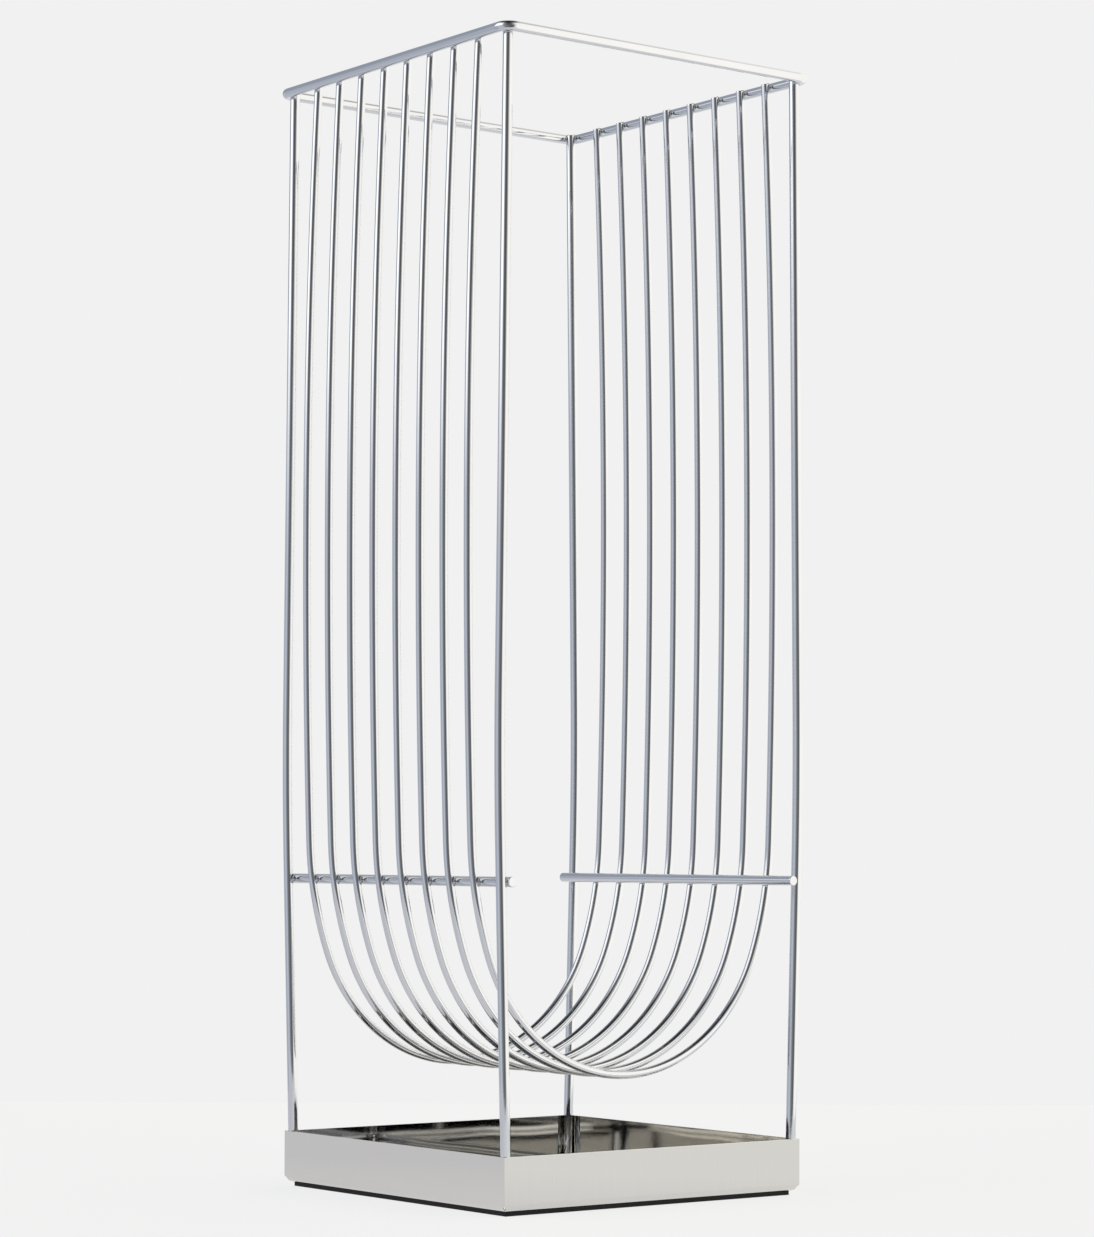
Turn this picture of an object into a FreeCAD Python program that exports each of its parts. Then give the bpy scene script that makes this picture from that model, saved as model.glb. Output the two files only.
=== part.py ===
import FreeCAD, Part
import math
import os

os.makedirs("parts", exist_ok=True)

# Umbrella stand: a chromed wire cage that stands in a shallow folded tray.
# Millimetres, +Z up. The origin is on the floor, under the middle of the tray.
# The cage's wired sides face +X and -X, and its open sides face +Y and -Y.

# ---- Driving dimensions ----
overall_height = 675.0      # floor to the top of the rim
rim_width = 234.0           # outside width of the square rim
rod_diameter = 6.0          # rim, corner posts and cross bars
wire_diameter = 5.0         # U-shaped wires
rim_corner_radius = 7.0     # bend of the rim at its corners, on the rod's centre line
weld_depth = 0.5            # how far two welded rods are pressed into each other
end_drop = 1.5              # posts and wires end this far below the top of the rim

wire_count = 8              # U-shaped wires, evenly spaced from front to back
wire_pitch = 23.4
wire_bottom_height = 74.3   # lowest point of a U-wire, on its centre line
leg_bulge = 7.1             # how far the legs stand out at their widest, past their tops
leg_bulge_height = 398.0    # height at which the legs are widest
bend_inset = 10.0           # the bottom bend's radius is this much under the widest half width
bend_turn = 69.5            # degrees of the bottom bend, each way from its lowest point

bar_height = 188.0          # centre of the cross bars
weld_reach = 12.0           # length of rod that each weld takes, each way from its middle
post_bow = 100.0            # length of the bow that turns each post back in above its cross bar
seat_inset = 1.2            # how far a post stands further in at the tray than at the rim

tray_height = 31.0          # tray alone, from its underside to its top edge
sheet_thickness = 1.0
tray_bend_radius = 4.5      # outside radius between the tray's floor and walls
tack_depth = 0.15           # how far a post is pressed into the top edges of the tray's walls
seam_gap = 0.3              # open mitred seam between two walls of the tray
relief_radius = 1.0         # small round relief where the seam meets the bends
relief_inset = 1.3          # from the outside of the tray to the centre of the relief

backing_thickness = 1.3     # upper layer of the foot pad, stuck to the tray
sole_thickness = 1.3        # lower layer of the foot pad, on the floor
pad_edge_break = 0.25       # small bevel round each layer
pad_inset = 4.5             # from the outside of the tray to the edge of the pad

# ---- Worked out ----
rod_radius = rod_diameter / 2
wire_radius = wire_diameter / 2
pad_thickness = backing_thickness + sole_thickness
rim_half = rim_width / 2 - rod_radius                       # centre line of the rim
rim_height = overall_height - rod_radius                    # centre line of the rim
cage_top = overall_height - end_drop
post_half = rim_half - rod_diameter + weld_depth            # centre of a post, at the rim
seat_half = post_half - seat_inset                          # centre of a post, at the tray's top
wire_top_half = rim_half - rod_radius - wire_radius + weld_depth
tray_half = seat_half + rod_radius - tack_depth + sheet_thickness
tray_floor = pad_thickness + sheet_thickness                # upper face of the tray's floor
tray_top = pad_thickness + tray_height
floor_half = tray_half - tray_bend_radius                   # flat part of the tray's floor
inner_bend_radius = tray_bend_radius - sheet_thickness
post_bottom = tray_floor + inner_bend_radius                # posts end where the bends begin
bar_length = 2 * (post_half + rod_radius)

UP = FreeCAD.Vector(0, 0, 1)
ALONG_X = FreeCAD.Vector(1, 0, 0)
ALONG_Y = FreeCAD.Vector(0, 1, 0)


def vec(x, y, z):
    return FreeCAD.Vector(x, y, z)


def arc_from_tangent(start, heading, radius, turn):
    """Arc in the XZ plane that turns left by `turn` radians: its end, its heading and its edge."""
    centre = start + vec(-math.sin(heading), 0, math.cos(heading)) * radius

    def point(angle):
        return centre + vec(math.sin(angle), 0, -math.cos(angle)) * radius

    end = point(heading + turn)
    edge = Part.Arc(start, point(heading + turn / 2), end).toShape()
    return end, heading + turn, edge


def leg_circle():
    """Radius and centre of the long arc that each leg of a U-wire follows."""
    rise = cage_top - leg_bulge_height
    radius = (rise ** 2 + leg_bulge ** 2) / (2 * leg_bulge)
    return radius, vec(wire_top_half + leg_bulge - radius, 0, leg_bulge_height)


def shoulder_radius(bend_radius, leg_radius, leg_centre):
    """Radius of the arc that joins the bottom bend to the leg without a kink."""
    turn = math.radians(bend_turn)
    out = vec(math.sin(turn), 0, -math.cos(turn))
    bend_end = vec(0, 0, wire_bottom_height + bend_radius) + out * bend_radius
    gap = leg_centre - bend_end
    return (leg_radius ** 2 - gap.dot(gap)) / (2 * (gap.dot(out) + leg_radius))


def wire_half_path():
    """Edges of the +X half of a U-wire in the plane y = 0, from its lowest point to its top."""
    bend_radius = wire_top_half + leg_bulge - bend_inset
    leg_radius, leg_centre = leg_circle()
    shoulder = shoulder_radius(bend_radius, leg_radius, leg_centre)
    lowest = vec(0, 0, wire_bottom_height)
    place, heading, bend = arc_from_tangent(lowest, 0.0, bend_radius, math.radians(bend_turn))
    shoulder_centre = place + vec(-math.sin(heading), 0, math.cos(heading)) * shoulder
    towards = shoulder_centre - leg_centre
    meet_heading = math.pi / 2 + math.atan2(towards.z, towards.x)
    place, heading, edge = arc_from_tangent(place, heading, shoulder, meet_heading - heading)
    edges = [bend, edge]
    for height in (cage_top - weld_reach, cage_top):
        next_heading = math.pi / 2 + math.asin((height - leg_centre.z) / leg_radius)
        place, heading, edge = arc_from_tangent(place, heading, leg_radius, next_heading - heading)
        edges.append(edge)
    return edges


def half_width_at(height):
    """Distance from the middle to the centre line of a U-wire's leg at this height."""
    across = Part.makeLine(vec(0, 0, height), vec(rim_width, 0, height))
    return Part.Wire(wire_half_path()).distToShape(across)[1][0][0].x


def post_path(bar_side_half):
    """Centre line of the +X +Y post before it leans in Y: two straights joined by a bow."""
    lower_slope = (bar_side_half - seat_half) / (bar_height - tray_top)

    def on_lower(height):
        return vec(seat_half + lower_slope * (height - tray_top), post_half, height)

    top = vec(post_half, post_half, cage_top)
    bow_start = on_lower(bar_height + weld_reach)
    peak = on_lower(bar_height + weld_reach + post_bow / 2)
    upward = (top - peak).normalize()
    tangent_length = (peak - bow_start).Length
    bow_end = peak + upward * tangent_length
    chord_middle = (bow_start + bow_end) / 2
    lower_turn = math.atan(lower_slope)
    half_turn = (lower_turn - math.atan2(upward.x, upward.z)) / 2
    sagitta = tangent_length * math.cos(half_turn) * math.tan(half_turn / 2)
    outward = (peak - chord_middle).normalize()
    bow_middle = chord_middle + outward * sagitta
    below_rim = top - upward * weld_reach
    stops = [on_lower(post_bottom), on_lower(tray_top + weld_reach), bow_start]
    edges = [Part.makeLine(a, b) for a, b in zip(stops, stops[1:])]
    edges.append(Part.Arc(bow_start, bow_middle, bow_end).toShape())
    edges.append(Part.makeLine(bow_end, below_rim))
    edges.append(Part.makeLine(below_rim, top))
    return Part.Wire(edges)


def rod_along(path, radius):
    """Round rod whose centre line is the wire `path`."""
    first = path.OrderedEdges[0]
    start = first.valueAt(first.FirstParameter)
    tangent = first.tangentAt(first.FirstParameter)
    section = Part.Wire(Part.makeCircle(radius, start, tangent))
    return path.makePipeShell([section], True, False)


def rim_ring():
    """Rod bent to a square with rounded corners."""
    straight = rim_half - rim_corner_radius
    bulge = straight + rim_corner_radius * math.sqrt(0.5)
    edges = []
    for turn in range(4):
        side = Part.makeLine(vec(-straight, -rim_half, 0), vec(straight, -rim_half, 0))
        corner = Part.Arc(vec(straight, -rim_half, 0), vec(bulge, -bulge, 0),
                          vec(rim_half, -straight, 0)).toShape()
        for edge in (side, corner):
            edge.rotate(vec(0, 0, 0), UP, 90 * turn)
            edges.append(edge)
    path = Part.Wire(edges)
    path.translate(vec(0, 0, rim_height))
    return rod_along(path, rod_radius)


def u_wire(y, welded_to):
    """One U-wire across the cage at this y, hollowed where other rods are pressed into it."""
    right = wire_half_path()
    left = [edge.mirror(vec(0, 0, 0), vec(1, 0, 0)) for edge in right]
    path = Part.Wire(Part.__sortEdges__(left + right))
    path.translate(vec(0, y, 0))
    return rod_along(path, wire_radius).cut(welded_to)


def cross_bar(side, bar_half):
    """Straight rod along the inner side of the legs; side is -1 or 1."""
    start = vec(side * bar_half, -bar_length / 2, bar_height)
    return Part.makeCylinder(rod_radius, bar_length, start, ALONG_Y)


def corner_post(side_x, side_y, bar_half, welded_to):
    """Post in a corner, sprung outwards by the cross bar that it is welded to."""
    post = rod_along(post_path(bar_half + rod_diameter - weld_depth), rod_radius)
    lean = math.degrees(math.atan(seat_inset / (cage_top - tray_top)))
    post.rotate(vec(post_half, post_half, cage_top), ALONG_X, -lean)
    if side_x < 0:
        post = post.mirror(vec(0, 0, 0), vec(1, 0, 0))
    if side_y < 0:
        post = post.mirror(vec(0, 0, 0), vec(0, 1, 0))
    return post.cut(welded_to)


def tray_wall():
    """The +X wall of the tray with its bend, cut to a mitre at both ends."""
    low = pad_thickness
    bend_centre = vec(floor_half, -tray_half, low + tray_bend_radius)

    def bend_arc(radius):
        middle = bend_centre + vec(math.sqrt(0.5), 0, -math.sqrt(0.5)) * radius
        return Part.Arc(bend_centre - vec(0, 0, radius), middle,
                        bend_centre + vec(radius, 0, 0)).toShape()

    outer = bend_arc(tray_bend_radius)
    inner = bend_arc(inner_bend_radius)
    out_low, out_side = outer.Vertexes[0].Point, outer.Vertexes[1].Point
    in_low, in_side = inner.Vertexes[0].Point, inner.Vertexes[1].Point
    out_top = vec(tray_half, -tray_half, tray_top)
    in_top = vec(tray_half - sheet_thickness, -tray_half, tray_top)
    lines = [Part.makeLine(a, b) for a, b in (
        (out_side, out_top), (out_top, in_top), (in_top, in_side), (in_low, out_low))]
    outline = Part.Wire(Part.__sortEdges__([outer, inner] + lines))
    wall = Part.Face(outline).extrude(ALONG_Y * (2 * tray_half))
    mitre_reach = tray_half + tray_height
    mitre_step = seam_gap / 2 * math.sqrt(2)
    wedge = Part.Face(Part.makePolygon([
        vec(mitre_step, 0, 0), vec(mitre_reach, mitre_step - mitre_reach, 0),
        vec(mitre_reach, mitre_reach - mitre_step, 0), vec(mitre_step, 0, 0)]))
    return wall.common(wedge.extrude(UP * (tray_top + tray_height)))


def tray():
    """Sheet folded up on four sides, with open mitred seams and a round relief under each."""
    floor = Part.makeBox(2 * floor_half, 2 * floor_half, sheet_thickness,
                         vec(-floor_half, -floor_half, pad_thickness))
    walls = []
    for turn in range(4):
        wall = tray_wall()
        wall.rotate(vec(0, 0, 0), UP, 90 * turn)
        walls.append(wall)
    body = floor.fuse(walls)
    relief_half = tray_half - relief_inset
    reliefs = [Part.makeCylinder(relief_radius, tray_bend_radius,
                                 vec(side_x * relief_half, side_y * relief_half, pad_thickness))
               for side_x in (-1, 1) for side_y in (-1, 1)]
    return body.cut(reliefs).removeSplitter()


def pad_layer(bottom, thickness):
    """One square layer of the foot pad with its edges broken."""
    half = tray_half - pad_inset
    layer = Part.makeBox(2 * half, 2 * half, thickness, vec(-half, -half, bottom))
    return layer.makeChamfer(pad_edge_break, layer.Edges)


def save(name, shape):
    shape = shape.Solids[0] if len(shape.Solids) == 1 else shape
    if not shape.isValid() or len(shape.Solids) != 1:
        raise ValueError(name + " is not one valid solid")
    shape.exportStep("parts/" + name + ".step")


def main():
    wire_half = half_width_at(bar_height)
    bar_half = wire_half - wire_radius - rod_radius + weld_depth
    rim = rim_ring()
    bars = {"left": cross_bar(-1, bar_half), "right": cross_bar(1, bar_half)}
    tray_solid = tray()
    save("rim_ring", rim)
    for name, bar in bars.items():
        save("cross_bar_" + name, bar)
    first_y = -wire_pitch * (wire_count - 1) / 2
    for index in range(wire_count):
        wire = u_wire(first_y + index * wire_pitch, [rim] + list(bars.values()))
        save("u_wire_" + str(index + 1), wire)
    for side_x, x_name in ((-1, "left"), (1, "right")):
        for side_y, y_name in ((-1, "front"), (1, "back")):
            post = corner_post(side_x, side_y, bar_half, [rim, bars[x_name], tray_solid])
            save("corner_post_" + y_name + "_" + x_name, post)
    save("tray", tray_solid)
    save("pad_backing", pad_layer(sole_thickness, backing_thickness))
    save("pad_sole", pad_layer(0.0, sole_thickness))


main()
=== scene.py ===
import bpy
import math
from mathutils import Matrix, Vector


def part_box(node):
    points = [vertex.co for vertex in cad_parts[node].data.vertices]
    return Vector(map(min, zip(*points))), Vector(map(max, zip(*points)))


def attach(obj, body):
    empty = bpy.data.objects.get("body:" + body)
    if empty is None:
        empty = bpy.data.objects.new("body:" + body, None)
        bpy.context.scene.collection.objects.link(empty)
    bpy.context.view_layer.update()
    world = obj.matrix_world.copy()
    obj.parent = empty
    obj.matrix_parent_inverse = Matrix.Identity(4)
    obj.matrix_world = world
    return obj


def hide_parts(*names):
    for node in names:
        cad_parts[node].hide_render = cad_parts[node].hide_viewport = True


bl_info = {
    "name": "Wire Umbrella Stand",
    "version": (1, 0, 0),
    "blender": (4, 5, 0),
    "location": "3D Viewport > Sidebar > Umbrella Stand",
    "description": "Builds a chromed wire umbrella stand on a folded steel drip tray",
    "category": "Add Mesh",
}

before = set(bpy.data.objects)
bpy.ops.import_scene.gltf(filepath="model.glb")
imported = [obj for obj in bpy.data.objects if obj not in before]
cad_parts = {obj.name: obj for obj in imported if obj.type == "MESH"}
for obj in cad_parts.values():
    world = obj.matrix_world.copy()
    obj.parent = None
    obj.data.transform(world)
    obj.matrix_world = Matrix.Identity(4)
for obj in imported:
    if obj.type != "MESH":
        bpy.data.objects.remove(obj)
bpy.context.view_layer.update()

MM = 0.001
MERGE = 0.01 * MM                   # points nearer than this become one
ROD_SMOOTH = math.radians(40)       # edges of a rod sharper than this stay sharp
SHEET_SMOOTH = math.radians(50)     # edges of the tray and pad sharper than this stay sharp
CORNER_STEPS = 12                   # facets along a bend of the rim, a post or the tray
BOTTOM_STEPS, SHOULDER_STEPS, LEG_STEPS = 26, 10, 30    # facets along the arcs of a U-wire
WIRES = sorted((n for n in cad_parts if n.startswith("u_wire_")), key=lambda n: int(n[7:]))
SIDES = {"left": -1, "right": 1}


def linear(hex_colour):
    """Turns an sRGB hex colour into the linear red, green and blue that shaders read."""
    channels = [int(hex_colour[i:i + 2], 16) / 255 for i in (1, 3, 5)]
    return tuple(c / 12.92 if c <= 0.04045 else ((c + 0.055) / 1.055) ** 2.4 for c in channels)


def length(name, default, description):
    """A length in millimetres, kept in metres."""
    return bpy.props.FloatProperty(name=name, default=default * MM, min=0.0, unit="LENGTH",
                                   precision=5, description=description)


def colour(name, default, description):
    """A colour given as sRGB hex."""
    return bpy.props.FloatVectorProperty(name=name, default=linear(default), size=3, min=0.0,
                                         max=1.0, subtype="COLOR", description=description)


class StandSizes(bpy.types.PropertyGroup):
    """Sizes that the frame's boxes don't give by themselves."""
    rod_diameter: length("Rod diameter", 6.0, "Rim, corner posts and cross bars")
    wire_diameter: length("Wire diameter", 5.0, "U-shaped wires")
    rim_corner_radius: length("Rim corner radius", 7.0, "Bend of the rim, on its centre line")
    weld_depth: length("Weld depth", 0.5, "How far two welded rods are pressed together")
    leg_bulge_height: length("Leg bulge height", 398.0, "Height at which the legs are widest")
    bend_inset: length("Bend inset", 10.0, "Bottom bend's radius, under the widest half width")
    bend_turn: bpy.props.FloatProperty(
        name="Bend turn", default=math.radians(69.5), subtype="ANGLE",
        description="Turn of the bottom bend, each way from its lowest point")
    weld_reach: length("Weld reach", 12.0, "Straight part of a post above its cross bar")
    post_bow: length("Post bow", 100.0, "Length of the bow that turns each post back in")
    seat_inset: length("Seat inset", 1.2, "How far a post stands further in at the tray")
    cut_edge: length("Cut edge", 0.35, "Rounding of the edge of each sawn end")
    end_ring: length("End ring", 1.0, "From the end of a straight to its guard ring")
    weld_width: length("Weld width", 4.6, "Width of a weld along the rod")
    weld_height: length("Weld height", 5.4, "Height of a weld along the wire")
    weld_thickness: length("Weld thickness", 2.3, "How far a weld fills the gap at a crossing")
    weld_lumps: length("Weld lumps", 0.16, "How uneven a weld's surface is")
    sheet_thickness: length("Sheet thickness", 1.0, "Steel sheet of the tray")
    tray_bend_radius: length("Tray bend radius", 4.5, "Outside radius under the tray's walls")
    seam_gap: length("Seam gap", 0.3, "Open mitred seam at each corner of the tray")
    relief_radius: length("Relief radius", 1.0, "Round hole at the foot of each seam")
    relief_inset: length("Relief inset", 1.3, "From the tray's outside to the relief's centre")
    sheet_edge: length("Sheet edge", 0.18, "Rounding of the deburred edges of the sheet")
    pad_edge: length("Pad edge", 0.25, "Rounding of the edges of the foot pad's layers")
    rod_sides: bpy.props.IntProperty(name="Rod sides", default=24, min=8,
                                     description="Facets round a rod")


class StandFinishes(bpy.types.PropertyGroup):
    """Colours and polish."""
    chrome: colour("Chrome", "#D6D8DB", "Bright chrome plate on the rods and wires")
    chrome_haze: colour("Chrome haze", "#CDCFD4", "Thinner, slightly hazy plate")
    weld: colour("Weld", "#B4B5B9", "Chrome over a rough weld")
    tray: colour("Tray", "#DCDBD7", "Bright rolled stainless steel")
    tray_shade: colour("Tray shade", "#D8D6D2", "Duller streaks along the rolling direction")
    pad: colour("Pad", "#0B0B0C", "Black foam rubber")
    pad_dust: colour("Pad dust", "#1B1B1C", "Dust caught in the cut cells")
    chrome_roughness: bpy.props.FloatProperty(
        name="Chrome roughness", default=0.05, min=0.0, max=1.0, subtype="FACTOR",
        description="Roughness of the best chrome plate")
    tray_roughness: bpy.props.FloatProperty(
        name="Tray roughness", default=0.03, min=0.0, max=1.0, subtype="FACTOR",
        description="Roughness of the tray's sheet")


class StandStudio(bpy.types.PropertyGroup):
    """Camera, floor and light."""
    camera_place: bpy.props.FloatVectorProperty(
        name="Camera place", default=(-1.27779, -1.64472, 0.20847), subtype="TRANSLATION",
        unit="LENGTH", description="Where the lens is")
    camera_heading: bpy.props.FloatProperty(
        name="Camera heading", default=0.63527, subtype="ANGLE",
        description="Turn of the view from +Y towards +X")
    camera_pitch: bpy.props.FloatProperty(
        name="Camera pitch", default=0.03017, subtype="ANGLE",
        description="How far the view is raised above level")
    camera_roll: bpy.props.FloatProperty(
        name="Camera roll", default=-0.00336, subtype="ANGLE",
        description="Tilt of the camera about its view")
    lens: bpy.props.FloatProperty(name="Lens", default=99.76, min=1.0,
                                  description="Focal length in millimetres")
    shift_x: bpy.props.FloatProperty(name="Shift X", default=0.0757,
                                     description="Sideways shift of the frame")
    shift_y: bpy.props.FloatProperty(name="Shift Y", default=0.0998,
                                     description="Upward shift of the frame")
    backdrop: colour("Backdrop", "#F1F1F1", "Pale backdrop")
    light: bpy.props.FloatProperty(name="Light", default=1.8, min=0.0,
                                   description="Strength of the soft boxes and walls")
    floor_size: length("Floor size", 1400.0, "Side of the square floor")
    floor_skin: colour("Floor skin", "#8A8A8A", "What the floor's surface gives back")
    floor_cloud: colour("Floor cloud", "#888888", "Faintly darker patches of the surface")
    floor_seen: colour("Floor seen", "#FAFAFA", "Glow of the floor as the camera sees it")
    # Painted light: the floor's glow is dimmer and cooler away from the key light and warmer by it,
    # in what the metal mirrors.
    floor_painted_dim_side: colour("Floor cool", "#E1E1E7", "Glow that the metal mirrors on the cooler side")
    floor_painted_lit_side: colour("Floor warm", "#FFFFFD", "Glow that the metal mirrors by the key light")
    # The floor's glow is painted light that keeps it as bright as the backdrop, not light coming
    # through the floor from below.
    floor_painted_glow: bpy.props.FloatProperty(
        name="Floor glow", default=0.772, min=0.0,
        description="Strength of the light that comes through the floor from below")


# ---- Modelling helpers ----

def deselect_all():
    if bpy.context.object and bpy.context.object.mode != "OBJECT":
        bpy.ops.object.mode_set(mode="OBJECT")
    bpy.ops.object.select_all(action="DESELECT")


def active_piece(name):
    """Names the object just added and puts its place into its mesh."""
    piece = bpy.context.object
    piece.name = name
    piece.data.name = name
    bpy.ops.object.transform_apply(location=True, rotation=True, scale=True)
    return piece


def edit_all():
    """Goes into edit mode with everything selected."""
    bpy.ops.object.mode_set(mode="EDIT")
    bpy.ops.mesh.select_all(action="SELECT")


def face_outwards():
    """Turns all faces of the piece in edit mode outwards and leaves edit mode."""
    bpy.ops.mesh.select_all(action="SELECT")
    bpy.ops.mesh.normals_make_consistent(inside=False)
    bpy.ops.object.mode_set(mode="OBJECT")


def pick(piece, kind, wanted):
    """In edit mode, selects the vertices, edges or faces for which wanted(centre, normal) holds."""
    bpy.ops.mesh.select_mode(type={"vertices": "VERT", "edges": "EDGE", "polygons": "FACE"}[kind])
    bpy.ops.mesh.select_all(action="DESELECT")
    bpy.ops.object.mode_set(mode="OBJECT")
    points = piece.data.vertices
    for item in getattr(piece.data, kind):
        if kind == "vertices":
            centre, normal = item.co, item.normal
        else:
            corners = [points[i].co for i in item.vertices]
            centre = sum(corners, Vector()) / len(corners)
            normal = item.normal if kind == "polygons" else None
        item.select = wanted(centre, normal)
    bpy.ops.object.mode_set(mode="EDIT")


def start_rod(name, radius, place, turn):
    """Starts a rod as one ring at this place, left in edit mode with the ring selected."""
    deselect_all()
    sides = bpy.context.scene.stand_sizes.rod_sides
    bpy.ops.mesh.primitive_circle_add(vertices=sides, radius=radius, location=place, rotation=turn)
    piece = active_piece(name)
    bpy.ops.object.mode_set(mode="EDIT")
    bpy.ops.mesh.select_mode(type="EDGE")
    bpy.ops.mesh.select_all(action="SELECT")
    return piece


def across(axis, *places):
    """Planes square to this axis, at these places along it, as points and normals."""
    return [(Vector(axis) * place, axis) for place in places]


def run(step):
    """Draws the rod on in a straight line."""
    bpy.ops.mesh.extrude_region_move(TRANSFORM_OT_translate={"value": tuple(step)})


def bend(centre, axis, turn, steps):
    """Bends the rod on about this axis, by the right-hand rule; spin itself turns the other way."""
    bpy.ops.mesh.spin(steps=steps, angle=-turn, center=tuple(centre), axis=axis)


def finish_rod(piece, guard_planes, closed=False):
    """Welds the mesh together, closes and rounds its sawn ends and smooths it.

    The guard planes cut a ring just inside each end of a straight, which keeps the smooth
    shading of a rounded end or a bend from spreading along the straight.
    """
    bpy.ops.mesh.select_all(action="SELECT")
    bpy.ops.mesh.remove_doubles(threshold=MERGE)
    if not closed:
        bpy.ops.mesh.select_all(action="DESELECT")
        bpy.ops.mesh.select_non_manifold()
        bpy.ops.mesh.fill_holes(sides=0)
        bpy.ops.mesh.select_mode(type="FACE")
        bpy.ops.mesh.select_face_by_sides(number=4, type="GREATER", extend=False)
        bpy.ops.mesh.bevel(offset=bpy.context.scene.stand_sizes.cut_edge, segments=3)
    for point, normal in guard_planes:
        bpy.ops.mesh.select_all(action="SELECT")
        bpy.ops.mesh.bisect(plane_co=point, plane_no=normal)
    face_outwards()
    bpy.ops.object.shade_smooth_by_angle(angle=ROD_SMOOTH)


def select_only(piece):
    deselect_all()
    piece.select_set(True)
    bpy.context.view_layer.objects.active = piece


def copy_of(piece, name, move=(0, 0, 0), turn=0.0, scale=(1, 1, 1)):
    """A copy with its own mesh, mirrored, turned about Z and then moved, with normals outwards."""
    select_only(piece)
    bpy.ops.object.duplicate(linked=False)
    copy = bpy.context.object
    copy.scale = scale
    copy.rotation_euler = (0, 0, turn)
    copy.location = move
    active_piece(name)
    if min(scale) < 0:
        edit_all()
        face_outwards()
    return copy


def apply_modifier(piece, kind, **settings):
    select_only(piece)
    bpy.ops.object.modifier_add(type=kind)
    modifier = piece.modifiers[-1]
    for key, value in settings.items():
        setattr(modifier, key, value)
    bpy.ops.object.modifier_apply(modifier=modifier.name)


def join(pieces, name):
    deselect_all()
    for piece in pieces:
        piece.select_set(True)
    bpy.context.view_layer.objects.active = pieces[0]
    bpy.ops.object.join()
    return active_piece(name)


def hand_over(piece, slot, material, *nodes):
    """Gives the piece its material and its body, and hides the CAD nodes it stands for; the slot is
    not used.
    """
    piece.data.materials.clear()
    piece.data.materials.append(material)
    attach(piece, "root")
    if nodes:
        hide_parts(*nodes)


# ---- Sizes that follow from the frame ----

def middle(node):
    low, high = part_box(node)
    return (low + high) / 2


def cage_sizes():
    """Centre lines of the cage, worked out from the frame's boxes and the stock sizes."""
    sizes = bpy.context.scene.stand_sizes
    rod, wire = sizes.rod_diameter / 2, sizes.wire_diameter / 2
    rim_low, rim_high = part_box("rim_ring")
    wire_low, wire_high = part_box(WIRES[0])
    rim_half = rim_high.y - rod
    wire_top_half = rim_half - rod - wire + sizes.weld_depth
    return {
        "rod": rod, "wire": wire, "rim_half": rim_half, "rim_height": rim_high.z - rod,
        "wire_top_half": wire_top_half, "top": wire_high.z, "wire_low": wire_low.z + wire,
        "leg_bulge": wire_high.x - wire - wire_top_half,
        "post_half": rim_half - 2 * rod + sizes.weld_depth,
        "tray_top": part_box("tray")[1].z,
    }


def post_y(cage, height):
    """Distance from the middle to a post's centre line in Y, at this height."""
    inset = bpy.context.scene.stand_sizes.seat_inset
    return cage["post_half"] - inset * (cage["top"] - height) / (cage["top"] - cage["tray_top"])


# ---- Materials ----

def add(tree, kind, settings=None, links=None):
    """Adds a node, sets its options and sockets by name or number, and links its inputs."""
    node = tree.nodes.new(kind)
    for key, value in (settings or {}).items():
        if isinstance(key, str) and hasattr(node, key):
            setattr(node, key, value)
        else:
            node.inputs[key].default_value = value
    for key, source in (links or {}).items():
        tree.links.new(source, node.inputs[key])
    return node


def rgba(values):
    return (*values, 1.0)


def per_metre(size_mm):
    """Noise scale, in cells per metre, that gives features of this size in millimetres."""
    return 1000.0 / size_mm


def new_material(name):
    """A material with only an output and a Principled shader; returns it, its tree and shader."""
    material = bpy.data.materials.get(name)
    if material:
        return material, None, None
    material = bpy.data.materials.new(name)
    material.use_nodes = True
    tree = material.node_tree
    tree.nodes.clear()
    shader = add(tree, "ShaderNodeBsdfPrincipled")
    add(tree, "ShaderNodeOutputMaterial", links={"Surface": shader.outputs["BSDF"]})
    return material, tree, shader


def chrome_plate():
    """Bright nickel-chrome plate on drawn steel wire: a mirror with a faint bluish cast."""
    finishes = bpy.context.scene.stand_finishes
    material, tree, shader = new_material("bright_chrome_plate_on_steel_wire")
    if tree is None:
        return material
    place = add(tree, "ShaderNodeTexCoord").outputs["Object"]
    # Plate thickness drifts over some 40 mm: slightly cloudier stretches along each rod.
    haze = add(tree, "ShaderNodeTexNoise", {"Scale": per_metre(40), "Detail": 2.0},
               {"Vector": place})
    tint = add(tree, "ShaderNodeMix", {"data_type": "RGBA", 6: rgba(finishes.chrome),
               7: rgba(finishes.chrome_haze)}, {0: haze.outputs["Fac"]})
    polish = add(tree, "ShaderNodeMapRange",
                 {"From Min": 0.35, "From Max": 0.7, "To Min": finishes.chrome_roughness,
                  "To Max": finishes.chrome_roughness * 1.9}, {"Value": haze.outputs["Fac"]})
    # Drawing and polishing leave ripples some 9 mm long, which only stir what the mirror shows.
    ripple = add(tree, "ShaderNodeTexNoise", {"Scale": per_metre(9), "Detail": 1.0},
                 {"Vector": place})
    skin = add(tree, "ShaderNodeBump", {"Strength": 0.12, "Distance": 0.05 * MM},
               {"Height": ripple.outputs["Fac"]})
    shader.inputs["Metallic"].default_value = 1.0
    tree.links.new(tint.outputs[2], shader.inputs["Base Color"])
    tree.links.new(polish.outputs["Result"], shader.inputs["Roughness"])
    tree.links.new(skin.outputs["Normal"], shader.inputs["Normal"])
    return material


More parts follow.
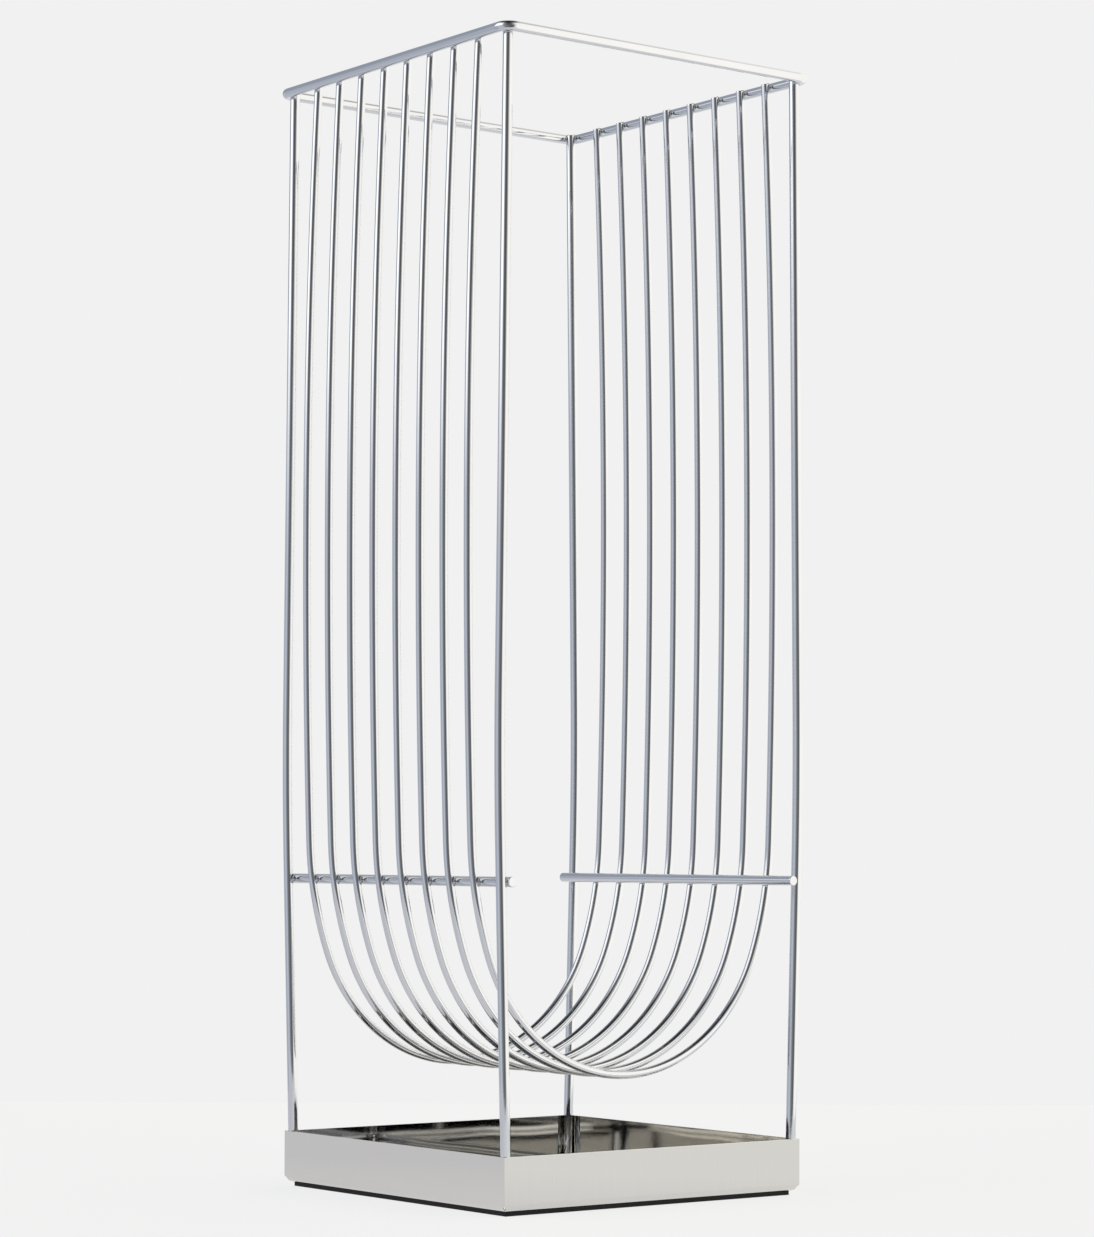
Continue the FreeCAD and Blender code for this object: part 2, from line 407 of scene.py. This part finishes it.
def weld_plate():
    """Chrome over unpolished resistance welds: darker, lumpy and dull beside the rods."""
    finishes = bpy.context.scene.stand_finishes
    material, tree, shader = new_material("chrome_plate_over_raw_weld")
    if tree is None:
        return material
    place = add(tree, "ShaderNodeTexCoord").outputs["Object"]
    scale = add(tree, "ShaderNodeTexNoise", {"Scale": per_metre(1.2), "Detail": 3.0},
                {"Vector": place})
    tint = add(tree, "ShaderNodeMix", {"data_type": "RGBA", 6: rgba(finishes.weld),
               7: rgba(finishes.chrome)}, {0: scale.outputs["Fac"]})
    dull = add(tree, "ShaderNodeMapRange", {"To Min": 0.12, "To Max": 0.4},
               {"Value": scale.outputs["Fac"]})
    lumps = add(tree, "ShaderNodeBump", {"Strength": 0.6, "Distance": 0.15 * MM},
                {"Height": scale.outputs["Fac"]})
    shader.inputs["Metallic"].default_value = 1.0
    tree.links.new(tint.outputs[2], shader.inputs["Base Color"])
    tree.links.new(dull.outputs["Result"], shader.inputs["Roughness"])
    tree.links.new(lumps.outputs["Normal"], shader.inputs["Normal"])
    return material


def rolling_place(tree, place, facing):
    """Coordinates of the rolling lines, 0.4 mm apart, which run along Y in the flat sheet.

    The walls that face Y are folded up from it, so their lines stand upright.
    """
    flat, upright = (add(tree, "ShaderNodeMapping",
                         {"Scale": (per_metre(0.4), per_metre(30), per_metre(height))},
                         {"Vector": place}) for height in (0.4, 30))
    split = add(tree, "ShaderNodeSeparateXYZ", links={0: facing})
    size = add(tree, "ShaderNodeMath", {"operation": "ABSOLUTE"}, {0: split.outputs["Y"]})
    faces_y = add(tree, "ShaderNodeMath", {"operation": "GREATER_THAN", 1: 0.7},
                  {0: size.outputs[0]})
    chosen = add(tree, "ShaderNodeMix", {"data_type": "VECTOR"},
                 {0: faces_y.outputs[0], 4: flat.outputs[0], 5: upright.outputs[0]})
    return chosen.outputs[1]


def rolled_stainless():
    """Bright annealed stainless sheet: a slightly warm mirror with faint rolling streaks."""
    finishes = bpy.context.scene.stand_finishes
    material, tree, shader = new_material("bright_annealed_stainless_sheet")
    if tree is None:
        return material
    coordinates = add(tree, "ShaderNodeTexCoord")
    place = coordinates.outputs["Object"]
    grain = add(tree, "ShaderNodeTexNoise", {"Scale": 1.0, "Detail": 3.0},
                {"Vector": rolling_place(tree, place, coordinates.outputs["Normal"])})
    # Handling marks and wiped smears, some 60 mm across.
    smear = add(tree, "ShaderNodeTexNoise", {"Scale": per_metre(60), "Detail": 4.0,
                                             "Distortion": 0.6}, {"Vector": place})
    tint = add(tree, "ShaderNodeMix", {"data_type": "RGBA", 6: rgba(finishes.tray),
               7: rgba(finishes.tray_shade)}, {0: grain.outputs["Fac"]})
    worn = add(tree, "ShaderNodeMath", {"operation": "MULTIPLY_ADD", 1: 0.35},
               {0: grain.outputs["Fac"], 2: smear.outputs["Fac"]})
    polish = add(tree, "ShaderNodeMapRange",
                 {"From Min": 0.45, "From Max": 0.95, "To Min": finishes.tray_roughness * 0.8,
                  "To Max": finishes.tray_roughness * 1.5}, {"Value": worn.outputs[0]})
    lines = add(tree, "ShaderNodeBump", {"Strength": 0.06, "Distance": 0.004 * MM},
                {"Height": grain.outputs["Fac"]})
    # The sheet is never quite flat: shallow dishing over 50 mm bends what it mirrors.
    dishing = add(tree, "ShaderNodeTexNoise", {"Scale": per_metre(50), "Detail": 0.0},
                  {"Vector": place})
    dished = add(tree, "ShaderNodeBump", {"Strength": 0.6, "Distance": 0.2 * MM},
                 {"Height": dishing.outputs["Fac"], "Normal": lines.outputs["Normal"]})
    shader.inputs["Metallic"].default_value = 1.0
    tree.links.new(tint.outputs[2], shader.inputs["Base Color"])
    tree.links.new(polish.outputs["Result"], shader.inputs["Roughness"])
    tree.links.new(dished.outputs["Normal"], shader.inputs["Normal"])
    return material


def foam_rubber():
    """Cut black closed-cell foam rubber: deep matt black with fine pores and a little dust."""
    finishes = bpy.context.scene.stand_finishes
    material, tree, shader = new_material("cut_black_foam_rubber")
    if tree is None:
        return material
    place = add(tree, "ShaderNodeTexCoord").outputs["Object"]
    # Cells are about 0.2 mm; drawn at 0.5 mm so that they show at all.
    cells = add(tree, "ShaderNodeTexVoronoi", {"Scale": per_metre(0.5)}, {"Vector": place})
    dust = add(tree, "ShaderNodeTexNoise", {"Scale": per_metre(9), "Detail": 5.0},
               {"Vector": place})
    amount = add(tree, "ShaderNodeMapRange", {"From Min": 0.45, "From Max": 0.75, "To Max": 0.8},
                 {"Value": dust.outputs["Fac"]})
    tint = add(tree, "ShaderNodeMix", {"data_type": "RGBA", 6: rgba(finishes.pad),
               7: rgba(finishes.pad_dust)}, {0: amount.outputs["Result"]})
    matt = add(tree, "ShaderNodeMapRange", {"To Min": 0.75, "To Max": 0.95},
               {"Value": dust.outputs["Fac"]})
    pores = add(tree, "ShaderNodeBump", {"Strength": 0.5, "Distance": 0.08 * MM},
                {"Height": cells.outputs["Distance"]})
    shader.inputs["IOR"].default_value = 1.5
    tree.links.new(tint.outputs[2], shader.inputs["Base Color"])
    tree.links.new(matt.outputs["Result"], shader.inputs["Roughness"])
    tree.links.new(pores.outputs["Normal"], shader.inputs["Normal"])
    return material


def studio_floor():
    """White floor with a painted glow: even where the camera sees it, and painted dimmer and cooler
    away from the key light where the metal mirrors it.
    """
    studio = bpy.context.scene.stand_studio
    material, tree, shader = new_material("lit_white_acrylic_floor")
    if tree is None:
        return material
    place = add(tree, "ShaderNodeTexCoord").outputs["Object"]
    # Patches some 2 m wide in the floor's own colour, which hardly show.
    cloud = add(tree, "ShaderNodeTexNoise", {"Scale": per_metre(2000), "Detail": 1.0},
                {"Vector": place})
    tint = add(tree, "ShaderNodeMix", {"data_type": "RGBA", 6: rgba(studio.floor_skin),
               7: rgba(studio.floor_cloud)}, {0: cloud.outputs["Fac"]})
    # Painted light: the glow is a little dimmer and cooler on the side away from the key light, in
    # what the metal mirrors.
    across_floor = add(tree, "ShaderNodeVectorMath",
                       {"operation": "DOT_PRODUCT", 1: (0.8, -0.6, 0.0)}, {0: place})
    share = add(tree, "ShaderNodeMapRange", {"From Min": -0.35, "From Max": 0.25},
                {"Value": across_floor.outputs["Value"]})
    painted_falloff = add(tree, "ShaderNodeMix", {"data_type": "RGBA", 6: rgba(studio.floor_painted_dim_side),
                   7: rgba(studio.floor_painted_lit_side)}, {0: share.outputs["Result"]})
    # The camera sees an even painted glow; the metal mirrors the painted falloff.
    path = add(tree, "ShaderNodeLightPath")
    glow = add(tree, "ShaderNodeMix", {"data_type": "RGBA", 7: rgba(studio.floor_seen)},
               {0: path.outputs["Is Camera Ray"], 6: painted_falloff.outputs[2]})
    tree.links.new(glow.outputs[2], shader.inputs["Emission Color"])
    tree.links.new(tint.outputs[2], shader.inputs["Base Color"])
    shader.inputs["Roughness"].default_value = 0.9
    shader.inputs["Specular IOR Level"].default_value = 0.0
    shader.inputs["Emission Strength"].default_value = studio.floor_painted_glow
    return material


# ---- Studio ----

# Round the stand from the camera's side, positive to its right: degrees, level and warmth.
# High up, a soft box stands on each side, and the dark room lies between them.
ROUND_AND_HIGH = (
    (-180, 0.50, 0.0), (-170, 0.40, 0.0), (-158, 0.22, -0.08), (-106, 0.26, -0.08),
    (-98, 0.90, -0.01), (-50, 0.95, -0.01), (-35, 0.23, 0.0), (-12, 0.07, 0.02),
    (12, 0.065, 0.03), (25, 0.15, 0.02), (48, 0.60, 0.02), (60, 0.78, 0.03),
    (148, 0.74, 0.04), (164, 0.50, 0.02), (180, 0.50, 0.0),
)
# Low down, the left soft box gives way to a cool grey wall; the right one reaches the floor.
ROUND_AND_LOW = (
    (-180, 0.50, 0.0), (-165, 0.40, -0.04), (-110, 0.35, -0.06), (-97, 0.28, -0.06),
    (-75, 0.40, -0.055), (-45, 0.40, -0.055), (-25, 0.18, -0.04), (0, 0.11, -0.02),
    (23, 0.075, 0.02), (34, 0.12, 0.03), (48, 0.60, 0.02), (60, 0.78, 0.03),
    (148, 0.74, 0.04), (164, 0.50, 0.02), (180, 0.50, 0.0),
)
# The left soft box's lower edge: degrees above the horizon and the share of the high ring.
LOW_TO_HIGH = ((-90, 0.0), (6, 0.0), (10, 1.0), (90, 1.0))
# From the horizon up: degrees and how much of the rings' light is left.
UP_TO_THE_CEILING = ((-90, 1.0), (44, 1.0), (62, 0.10), (90, 0.05))


def ramp(tree, stops, source):
    """A colour ramp with these (position, colour) stops."""
    node = add(tree, "ShaderNodeValToRGB", links={"Fac": source})
    elements = node.color_ramp.elements
    elements[0].position, elements[1].position = stops[0][0], stops[-1][0]
    elements[0].color, elements[1].color = stops[0][1], stops[-1][1]
    for position, shade in stops[1:-1]:
        elements.new(position).color = shade
    return node


def share_round_and_up(tree):
    """Where a direction lies round the stand and up from below, each as a share from 0 to 1."""
    direction = add(tree, "ShaderNodeTexCoord").outputs["Generated"]
    to_camera = Vector(bpy.context.scene.stand_studio.camera_place)
    turned = add(tree, "ShaderNodeVectorRotate",
                 {"rotation_type": "Z_AXIS", "Angle": -math.atan2(to_camera.y, to_camera.x)},
                 {"Vector": direction})
    axes = add(tree, "ShaderNodeSeparateXYZ", links={0: turned.outputs[0]})
    round_angle = add(tree, "ShaderNodeMath", {"operation": "ARCTAN2"},
                      {0: axes.outputs["Y"], 1: axes.outputs["X"]})
    round_share = add(tree, "ShaderNodeMath",
                      {"operation": "MULTIPLY_ADD", 1: 0.5 / math.pi, 2: 0.5},
                      {0: round_angle.outputs[0]})
    up_angle = add(tree, "ShaderNodeMath", {"operation": "ARCSINE"}, {0: axes.outputs["Z"]})
    up_share = add(tree, "ShaderNodeMath", {"operation": "MULTIPLY_ADD", 1: 1 / math.pi, 2: 0.5},
                   {0: up_angle.outputs[0]})
    return round_share.outputs[0], up_share.outputs[0]


def light_the_studio():
    """World light: soft boxes that the chrome mirrors, and a plain backdrop behind the stand."""
    studio = bpy.context.scene.stand_studio
    world = bpy.data.worlds.new("soft_box_studio")
    bpy.context.scene.world = world
    world.use_nodes = True
    tree = world.node_tree
    tree.nodes.clear()
    round_share, up_share = share_round_and_up(tree)
    high, low = (ramp(tree, [((angle + 180) / 360,
                              (level * (1 + warmth), level, level * (1 - 2 * warmth), 1.0))
                             for angle, level, warmth in ring], round_share)
                 for ring in (ROUND_AND_HIGH, ROUND_AND_LOW))
    edge, ceiling = (ramp(tree, [((angle + 90) / 180, (level, level, level, 1.0))
                                 for angle, level in stops], up_share)
                     for stops in (LOW_TO_HIGH, UP_TO_THE_CEILING))
    ring = add(tree, "ShaderNodeMix", {"data_type": "RGBA"},
               {0: edge.outputs["Color"], 6: low.outputs["Color"], 7: high.outputs["Color"]})
    boxes = add(tree, "ShaderNodeMix", {"data_type": "RGBA", "blend_type": "MULTIPLY", 0: 1.0},
                {6: ring.outputs[2], 7: ceiling.outputs["Color"]})
    light = add(tree, "ShaderNodeBackground", {"Strength": studio.light},
                {"Color": boxes.outputs[2]})
    plain = add(tree, "ShaderNodeBackground", {"Color": rgba(studio.backdrop), "Strength": 1.0})
    path = add(tree, "ShaderNodeLightPath")
    shown = add(tree, "ShaderNodeMixShader", links={
        0: path.outputs["Is Camera Ray"], 1: light.outputs[0], 2: plain.outputs[0]})
    add(tree, "ShaderNodeOutputWorld", links={"Surface": shown.outputs[0]})


class STAND_OT_studio(bpy.types.Operator):
    """Sets up the camera, the pale floor and the soft studio light"""
    bl_idname = "stand.studio"
    bl_label = "Studio"

    def execute(self, context):
        studio = context.scene.stand_studio
        context.scene.view_settings.view_transform = "Standard"
        deselect_all()
        bpy.ops.object.camera_add(
            location=studio.camera_place,
            rotation=(math.pi / 2 + studio.camera_pitch, studio.camera_roll,
                      -studio.camera_heading))
        camera = context.object
        camera.name = "camera"
        camera.data.lens = studio.lens
        camera.data.shift_x = studio.shift_x
        camera.data.shift_y = studio.shift_y
        context.scene.camera = camera
        deselect_all()
        bpy.ops.mesh.primitive_plane_add(size=studio.floor_size, location=(0, 0, 0),
                                         rotation=(0, 0, -studio.camera_heading))
        floor = active_piece("studio_floor")
        edit_all()
        bpy.ops.mesh.subdivide(number_cuts=7)
        bpy.ops.object.mode_set(mode="OBJECT")
        floor.data.materials.append(studio_floor())
        light_the_studio()
        return {"FINISHED"}


# ---- Pieces ----

class STAND_OT_rim(bpy.types.Operator):
    """Bends the square rim from one rod"""
    bl_idname = "stand.rim"
    bl_label = "Rim"

    def execute(self, context):
        cage = cage_sizes()
        half, height = cage["rim_half"], cage["rim_height"]
        radius = context.scene.stand_sizes.rim_corner_radius
        straight = half - radius
        rim = start_rod("rim_ring_rod", cage["rod"], (0, -half, height), (0, math.pi / 2, 0))
        heading, centre = Vector((1, 0, 0)), Vector((straight, -straight, height))
        run(heading * straight)
        for corner in range(4):
            bend(centre, (0, 0, 1), math.pi / 2, CORNER_STEPS)
            heading = Vector((-heading.y, heading.x, 0))
            centre = Vector((-centre.y, centre.x, height))
            run(heading * (straight if corner == 3 else 2 * straight))
        ring = straight - context.scene.stand_sizes.end_ring
        finish_rod(rim, across((1, 0, 0), -ring, ring) + across((0, 1, 0), -ring, ring),
                   closed=True)
        hand_over(rim, "chrome_frame", chrome_plate(), "rim_ring")
        return {"FINISHED"}


def u_wire_arcs(cage):
    """Centres, turns and steps of the arcs in the +X half of a U-wire, from its lowest point."""
    sizes = bpy.context.scene.stand_sizes
    rise = cage["top"] - sizes.leg_bulge_height
    leg = (rise ** 2 + cage["leg_bulge"] ** 2) / (2 * cage["leg_bulge"])
    leg_centre = Vector((cage["wire_top_half"] + cage["leg_bulge"] - leg, 0,
                         sizes.leg_bulge_height))
    bottom = cage["wire_top_half"] + cage["leg_bulge"] - sizes.bend_inset
    bottom_centre = Vector((0, 0, cage["wire_low"] + bottom))
    out = Vector((math.sin(sizes.bend_turn), 0, -math.cos(sizes.bend_turn)))
    bend_end = bottom_centre + out * bottom
    gap = leg_centre - bend_end
    shoulder = (leg ** 2 - gap.dot(gap)) / (2 * (gap.dot(out) + leg))
    shoulder_centre = bend_end - out * shoulder
    towards = shoulder_centre - leg_centre
    meet = math.pi / 2 + math.atan2(towards.z, towards.x)
    end = math.pi / 2 + math.asin(rise / leg)
    return ((bottom_centre, sizes.bend_turn, BOTTOM_STEPS),
            (shoulder_centre, meet - sizes.bend_turn, SHOULDER_STEPS),
            (leg_centre, end - meet, LEG_STEPS))


class STAND_OT_u_wires(bpy.types.Operator):
    """Bends one U-wire and copies it along the cage"""
    bl_idname = "stand.u_wires"
    bl_label = "U-wires"

    def execute(self, context):
        cage = cage_sizes()
        place = (0, middle(WIRES[0]).y, cage["wire_low"])
        first = start_rod(WIRES[0] + "_rod", cage["wire"], place, (0, math.pi / 2, 0))
        for centre, turn, steps in u_wire_arcs(cage):
            bend((centre.x, place[1], centre.z), (0, -1, 0), turn, steps)
        bpy.ops.object.mode_set(mode="OBJECT")
        apply_modifier(first, "MIRROR", merge_threshold=MERGE)
        bpy.ops.object.mode_set(mode="EDIT")
        ring = cage["top"] - context.scene.stand_sizes.end_ring
        finish_rod(first, across((0, 0, 1), ring))
        for node in WIRES[1:]:
            step = middle(node).y - place[1]
            wire = copy_of(first, node + "_rod", move=(0, step, 0))
            hand_over(wire, "chrome_frame", chrome_plate(), node)
        hand_over(first, "chrome_frame", chrome_plate(), WIRES[0])
        return {"FINISHED"}


class STAND_OT_cross_bars(bpy.types.Operator):
    """Cuts the two cross bars that tie the U-wires to the posts"""
    bl_idname = "stand.cross_bars"
    bl_label = "Cross bars"

    def execute(self, context):
        radius = cage_sizes()["rod"]
        for side in SIDES:
            node = "cross_bar_" + side
            low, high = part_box(node)
            centre = middle(node)
            bar = start_rod(node + "_rod", radius, (centre.x, low.y, centre.z),
                            (math.pi / 2, 0, 0))
            run((0, high.y - low.y, 0))
            ring = high.y - context.scene.stand_sizes.end_ring
            finish_rod(bar, across((0, 1, 0), -ring, ring))
            hand_over(bar, "chrome_frame", chrome_plate(), node)
        return {"FINISHED"}


class STAND_OT_corner_posts(bpy.types.Operator):
    """Bows one corner post outwards round its cross bar and copies it to the corners"""
    bl_idname = "stand.corner_posts"
    bl_label = "Corner posts"

    def execute(self, context):
        sizes = context.scene.stand_sizes
        cage = cage_sizes()
        half, rod = cage["post_half"], cage["rod"]
        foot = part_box("corner_post_back_right")[0].z
        bar = middle("cross_bar_right")
        seat = half - sizes.seat_inset
        slope = (bar.x + 2 * rod - sizes.weld_depth - seat) / (bar.z - cage["tray_top"])
        start, bow, peak = (Vector((seat + slope * (z - cage["tray_top"]), post_y(cage, z), z))
                            for z in (foot, bar.z + sizes.weld_reach,
                                      bar.z + sizes.weld_reach + sizes.post_bow / 2))
        top = Vector((half, half, cage["top"]))
        upward = (top - peak).normalized()
        lean = math.atan(slope)
        turn = lean - math.atan2(upward.x, upward.z)
        tangent = (peak - bow).length
        radius = tangent / math.tan(turn / 2)
        post = start_rod("corner_post_back_right_rod", rod, start, (0, 0, 0))
        run(bow - start)
        bend(bow + radius * Vector((-math.cos(lean), 0, math.sin(lean))), (0, -1, 0), turn,
             CORNER_STEPS)
        bow_end = peak + upward * tangent
        run((top.x - bow_end.x, top.y - bow.y, top.z - bow_end.z))
        finish_rod(post, across((0, 0, 1), foot + sizes.end_ring, cage["top"] - sizes.end_ring))
        hand_over(post, "chrome_frame", chrome_plate(), "corner_post_back_right")
        for name, scale in (("front_right", (1, -1, 1)), ("front_left", (-1, -1, 1)),
                            ("back_left", (-1, 1, 1))):
            copy = copy_of(post, "corner_post_" + name + "_rod", scale=scale)
            hand_over(copy, "chrome_frame", chrome_plate(), "corner_post_" + name)
        return {"FINISHED"}


def weld_bead(name, place, seed, turn=0.0):
    """A flat lens of squeezed-out metal between two rods, lumpy and a little uneven."""
    sizes = bpy.context.scene.stand_sizes
    deselect_all()
    bpy.ops.mesh.primitive_uv_sphere_add(segments=16, ring_count=10, radius=0.5)
    bead = bpy.context.object
    bead.scale = (sizes.weld_thickness, sizes.weld_width, sizes.weld_height)
    bpy.ops.object.transform_apply(location=False, rotation=False, scale=True)
    edit_all()
    bpy.ops.transform.vertex_random(offset=sizes.weld_lumps, uniform=0.2, normal=0.8, seed=seed)
    bpy.ops.mesh.vertices_smooth(factor=0.4, repeat=1)
    face_outwards()
    bpy.ops.object.shade_smooth()
    bead.rotation_euler = (0, 0, turn)
    bead.location = place
    return active_piece(name)


class STAND_OT_welds(bpy.types.Operator):
    """Adds the small welds where wires and posts cross the rim and the cross bars"""
    bl_idname = "stand.welds"
    bl_label = "Welds"

    def execute(self, context):
        cage = cage_sizes()
        rod, seed = cage["rod"], 0
        for side, sign in SIDES.items():
            bar = middle("cross_bar_" + side)
            rim_face = sign * (cage["rim_half"] - rod)
            rows = {"rim": (rim_face, cage["rim_height"]), "bar": (bar.x + sign * rod, bar.z)}
            for row, (x, z) in rows.items():
                beads = []
                side_y = post_y(cage, z)
                for y in [middle(n).y for n in WIRES] + [-side_y, side_y]:
                    seed += 1
                    beads.append(weld_bead("bead", (x, y, z), seed))
                if row == "rim":
                    for end in (-1, 1):
                        seed += 1
                        beads.append(weld_bead("bead", (sign * cage["post_half"],
                                     end * (cage["rim_half"] - rod), z), seed, math.pi / 2))
                welds = join(beads, "welds_" + row + "_" + side)
                hand_over(welds, "chrome_frame", weld_plate())
        return {"FINISHED"}


class STAND_OT_tray(bpy.types.Operator):
    """Folds the drip tray from sheet, with open mitred seams and a relief hole at each foot"""
    bl_idname = "stand.tray"
    bl_label = "Tray"

    def execute(self, context):
        sizes = context.scene.stand_sizes
        low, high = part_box("tray")
        floor_half = high.x - sizes.tray_bend_radius
        seam_step = sizes.seam_gap / 2 * math.sqrt(2)
        wall = self.fold_wall(low, high, floor_half, seam_step)
        walls = [wall] + [copy_of(wall, "tray_wall", turn=math.pi / 2 * n) for n in (1, 2, 3)]
        tray = join([self.cut_floor(low.z, floor_half, seam_step)] + walls, "tray_folded_sheet")
        edit_all()
        bpy.ops.mesh.remove_doubles(threshold=2 * MERGE)
        face_outwards()
        apply_modifier(tray, "SOLIDIFY", thickness=sizes.sheet_thickness, offset=-1.0,
                       use_even_offset=True)
        apply_modifier(tray, "BEVEL", width=sizes.sheet_edge, segments=2,
                       limit_method="ANGLE", angle_limit=ROD_SMOOTH)
        bpy.ops.object.shade_smooth_by_angle(angle=SHEET_SMOOTH)
        apply_modifier(tray, "WEIGHTED_NORMAL", keep_sharp=True)
        hand_over(tray, "tray_steel", rolled_stainless(), "tray")
        return {"FINISHED"}

    def fold_wall(self, low, high, floor_half, seam_step):
        """Folds up the wall that faces +X and cuts both of its mitred seams."""
        sizes = bpy.context.scene.stand_sizes
        radius, span = sizes.tray_bend_radius, 3 * high.x
        deselect_all()
        bpy.ops.mesh.primitive_plane_add(size=span, location=(floor_half - span / 2, 0, low.z))
        wall = active_piece("tray_wall")
        bpy.ops.object.mode_set(mode="EDIT")
        pick(wall, "edges", lambda c, n: abs(c.x - floor_half) < MM)
        bend((floor_half, 0, low.z + radius), (0, -1, 0), math.pi / 2, CORNER_STEPS)
        run((0, 0, high.z - low.z - radius))
        cuts = (((floor_half, 0, 0), (-1, 0, 0)), ((seam_step, 0, 0), (-1, 1, 0)),
                ((seam_step, 0, 0), (-1, -1, 0)))
        for point, normal in cuts:
            bpy.ops.mesh.select_all(action="SELECT")
            bpy.ops.mesh.bisect(plane_co=point, plane_no=normal, clear_outer=True)
        bpy.ops.object.mode_set(mode="OBJECT")
        self.open_reliefs(wall, high.x - sizes.relief_inset)
        bpy.ops.object.mode_set(mode="OBJECT")
        return wall

    def cut_floor(self, height, floor_half, seam_step):
        """Cuts the flat floor, with its corners taken off by the seams."""
        deselect_all()
        bpy.ops.mesh.primitive_plane_add(size=2 * floor_half, location=(0, 0, height))
        floor = active_piece("tray_floor")
        edit_all()
        bpy.ops.mesh.bevel(offset=seam_step, segments=1, affect="VERTICES")
        bpy.ops.object.mode_set(mode="OBJECT")
        return floor

    def open_reliefs(self, wall, centre):
        """Draws the mitred ends of the bend back to a round notch, the relief of each seam."""
        radius = bpy.context.scene.stand_sizes.relief_radius
        ends = {(v.co.x, v.co.y) for v in wall.data.vertices if abs(v.co.x - centre) < radius}
        bpy.ops.object.mode_set(mode="EDIT")
        for x, y in sorted(ends):
            notch = centre - math.sqrt(radius ** 2 - (x - centre) ** 2)
            if abs(y) > notch:
                pick(wall, "vertices", lambda c, n: abs(c.x - x) + abs(c.y - y) < MERGE)
                bpy.ops.transform.translate(value=(0, math.copysign(notch, y) - y, 0))


class STAND_OT_foot_pad(bpy.types.Operator):
    """Cuts the two layers of the black foot pad"""
    bl_idname = "stand.foot_pad"
    bl_label = "Foot pad"

    def execute(self, context):
        for node in ("pad_backing", "pad_sole"):
            low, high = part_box(node)
            deselect_all()
            bpy.ops.mesh.primitive_plane_add(size=high.x - low.x, location=(0, 0, low.z))
            layer = active_piece(node + "_foam")
            edit_all()
            run((0, 0, high.z - low.z))
            bpy.ops.mesh.select_all(action="SELECT")
            bpy.ops.mesh.normals_make_consistent(inside=False)
            bpy.ops.mesh.bevel(offset=context.scene.stand_sizes.pad_edge, segments=3)
            bpy.ops.object.mode_set(mode="OBJECT")
            bpy.ops.object.shade_smooth_by_angle(angle=SHEET_SMOOTH)
            apply_modifier(layer, "WEIGHTED_NORMAL")
            hand_over(layer, "pad_rubber", foam_rubber(), node)
        return {"FINISHED"}


PIECE_OPERATORS = (STAND_OT_rim, STAND_OT_u_wires, STAND_OT_cross_bars, STAND_OT_corner_posts,
                   STAND_OT_welds, STAND_OT_tray, STAND_OT_foot_pad)
PROPERTY_GROUPS = {"stand_sizes": StandSizes, "stand_finishes": StandFinishes,
                   "stand_studio": StandStudio}


class STAND_PT_panel(bpy.types.Panel):
    """Lists the stand's sizes, finishes and pieces"""
    bl_idname = "STAND_PT_panel"
    bl_label = "Umbrella Stand"
    bl_space_type = "VIEW_3D"
    bl_region_type = "UI"
    bl_category = "Umbrella Stand"

    def draw(self, context):
        layout = self.layout
        for operator in (STAND_OT_studio,) + PIECE_OPERATORS:
            layout.operator(operator.bl_idname)
        for attribute in PROPERTY_GROUPS:
            box = layout.box()
            group = getattr(context.scene, attribute)
            for name in group.__annotations__:
                box.prop(group, name)


CLASSES = tuple(PROPERTY_GROUPS.values()) + (STAND_OT_studio,) + PIECE_OPERATORS + (STAND_PT_panel,)


def register():
    for cls in CLASSES:
        bpy.utils.register_class(cls)
    for attribute, group in PROPERTY_GROUPS.items():
        setattr(bpy.types.Scene, attribute, bpy.props.PointerProperty(type=group))


def unregister():
    for attribute in PROPERTY_GROUPS:
        delattr(bpy.types.Scene, attribute)
    for cls in reversed(CLASSES):
        bpy.utils.unregister_class(cls)


def main():
    register()
    bpy.ops.stand.studio()
    bpy.ops.stand.rim()
    bpy.ops.stand.u_wires()
    bpy.ops.stand.cross_bars()
    bpy.ops.stand.corner_posts()
    bpy.ops.stand.welds()
    bpy.ops.stand.tray()
    bpy.ops.stand.foot_pad()


if __name__ == "__main__":
    main()
